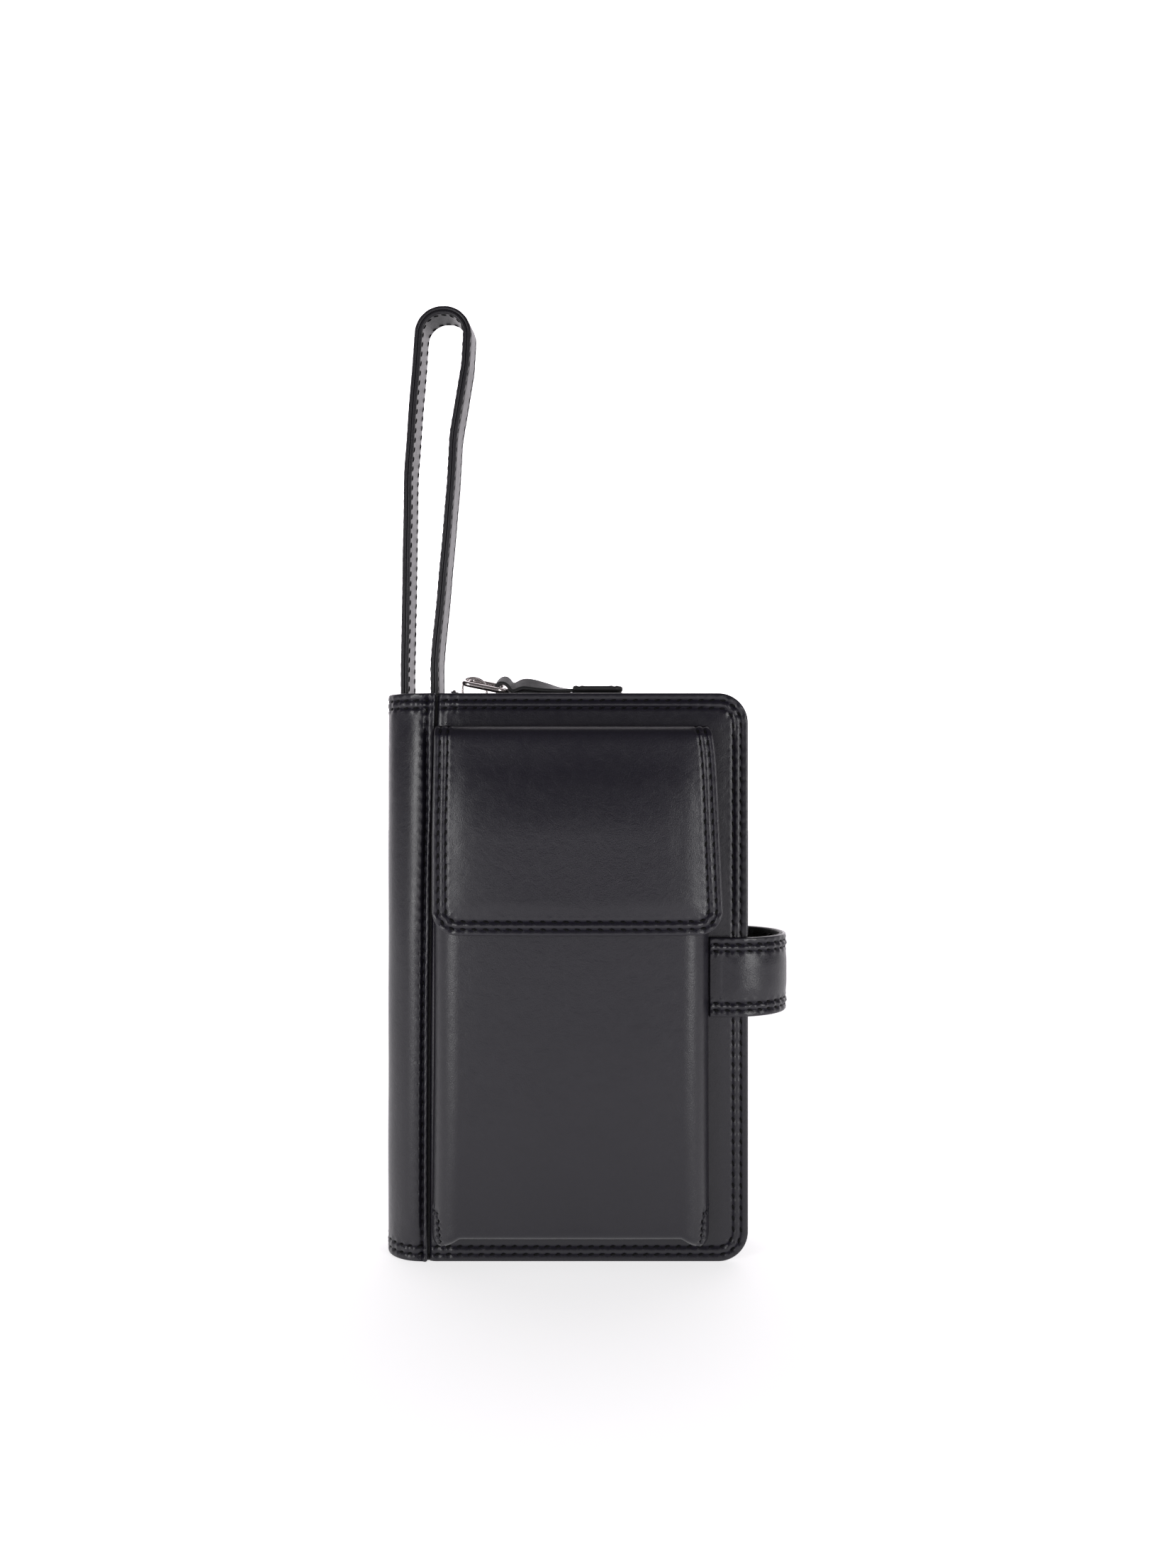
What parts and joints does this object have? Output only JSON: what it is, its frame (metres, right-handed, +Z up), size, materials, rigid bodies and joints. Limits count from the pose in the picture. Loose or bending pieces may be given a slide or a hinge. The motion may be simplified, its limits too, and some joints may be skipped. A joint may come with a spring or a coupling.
{
  "type": "wristlet wallet",
  "caption": "Upright folding leather wallet with a flap-covered phone pocket, a zip pouch between its covers, a wrap-round snap tab and a looped wrist strap.",
  "frame": {"origin": "under the middle of the closed wallet's whole box, on the surface that its lower edge stands on", "axes": "+Z up along the spine to the wrist strap, +X from the spine to the free edge, +Y from the phone pocket's side to the back cover"},
  "size_m": [0.1368, 0.052, 0.323],
  "materials": {
    "leather": "satin",
    "lining": "matte",
    "board": "matte",
    "thread": "waxed",
    "zip_tape": "matte",
    "gunmetal": "polished",
    "magnet": "plated"
  },
  "bodies": {
    "back": {"back_cover_panel": "leather", "back_stiffener": "board", "back_lining": "lining", "spine_rear_strip": "leather", "back_slip_pocket": "leather", "pouch_front_wall": "lining", "pouch_rear_wall": "lining", "pouch_gusset": "lining", "zip_tapes": "zip_tape", "zip_teeth": "gunmetal", "zip_bottom_stop": "gunmetal", "snap_stud": "gunmetal"},
    "spine": {"spine_panel": "leather", "spine_lining": "lining", "strap_anchor": "leather", "strap_sewn_ends": "leather", "strap_flex_roots": "leather"},
    "wrist_strap": {"strap_outer_layer": "leather", "strap_inner_layer": "leather"},
    "front": {"front_cover_panel": "leather", "front_stiffener": "board", "front_lining": "lining", "spine_front_strip": "leather", "card_slot_1": "leather", "card_slot_2": "leather", "card_slot_3": "leather", "phone_pocket_front": "leather", "phone_pocket_lining": "lining", "phone_pocket_magnet": "magnet", "phone_pocket_gusset": "leather", "flap_tail": "leather", "tab_root": "leather"},
    "flap_top": {"flap_top_leather": "leather", "flap_top_lining": "lining"},
    "flap_front": {"flap_front_leather": "leather", "flap_front_lining": "lining", "flap_magnet": "magnet"},
    "closure_tab": {"tab_outer_layer": "leather", "tab_inner_layer": "leather", "snap_socket": "gunmetal", "snap_cap": "gunmetal"},
    "slider": {"zip_slider": "gunmetal"},
    "ring": {"pull_ring": "gunmetal"},
    "pull": {"pull_strip": "leather", "pull_grip": "leather"}
  },
  "joints": [
    {"name": "spine_fold", "type": "hinge", "parent": "back", "child": "spine", "pos_m": [-0.0684, 0.01925, 0.095], "axis": [0, 0, -1], "range_deg": [0, 90]},
    {"name": "cover_fold", "type": "hinge", "parent": "spine", "child": "front", "pos_m": [-0.0684, -0.01275, 0.095], "axis": [0, 0, -1], "range_deg": [0, 90]},
    {"name": "strap_swing", "type": "hinge", "parent": "spine", "child": "wrist_strap", "pos_m": [-0.0574, 0.00325, 0.193], "axis": [0, 1, 0], "range_deg": [-60, 35], "deforming": ["strap_flex_roots"]},
    {"name": "flap_root_fold", "type": "hinge", "parent": "front", "child": "flap_top", "pos_m": [-0.004, -0.01305, 0.1791], "axis": [-1, 0, 0], "range_deg": [0, 90]},
    {"name": "flap_front_fold", "type": "hinge", "parent": "flap_top", "child": "flap_front", "pos_m": [-0.004, -0.02605, 0.1791], "axis": [-1, 0, 0], "range_deg": [0, 90]},
    {"name": "tab_swing", "type": "hinge", "parent": "front", "child": "closure_tab", "pos_m": [0.04615, -0.01525, 0.09535], "axis": [0, 0, -1], "range_deg": [0, 100], "deforming": ["tab_outer_layer", "tab_inner_layer"]},
    {"name": "zip_slide", "type": "slide", "parent": "back", "child": "slider", "axis": [1, 0, 0], "range_m": [0, 0.076], "deforming": ["zip_teeth", "zip_tapes"]},
    {"name": "ring_swing", "type": "hinge", "parent": "slider", "child": "ring", "pos_m": [-0.0424, 0.00575, 0.1952], "axis": [0, -1, 0], "range_deg": [0, 80]},
    {"name": "pull_swing", "type": "hinge", "parent": "ring", "child": "pull", "pos_m": [-0.02897, 0.00575, 0.19249], "axis": [0, -1, 0], "range_deg": [0, 90]}
  ],
  "couplings": [
    {"joint": "cover_fold", "follows": "spine_fold", "ratio": 1},
    {"joint": "flap_front_fold", "follows": "flap_root_fold", "ratio": 1}
  ]
}
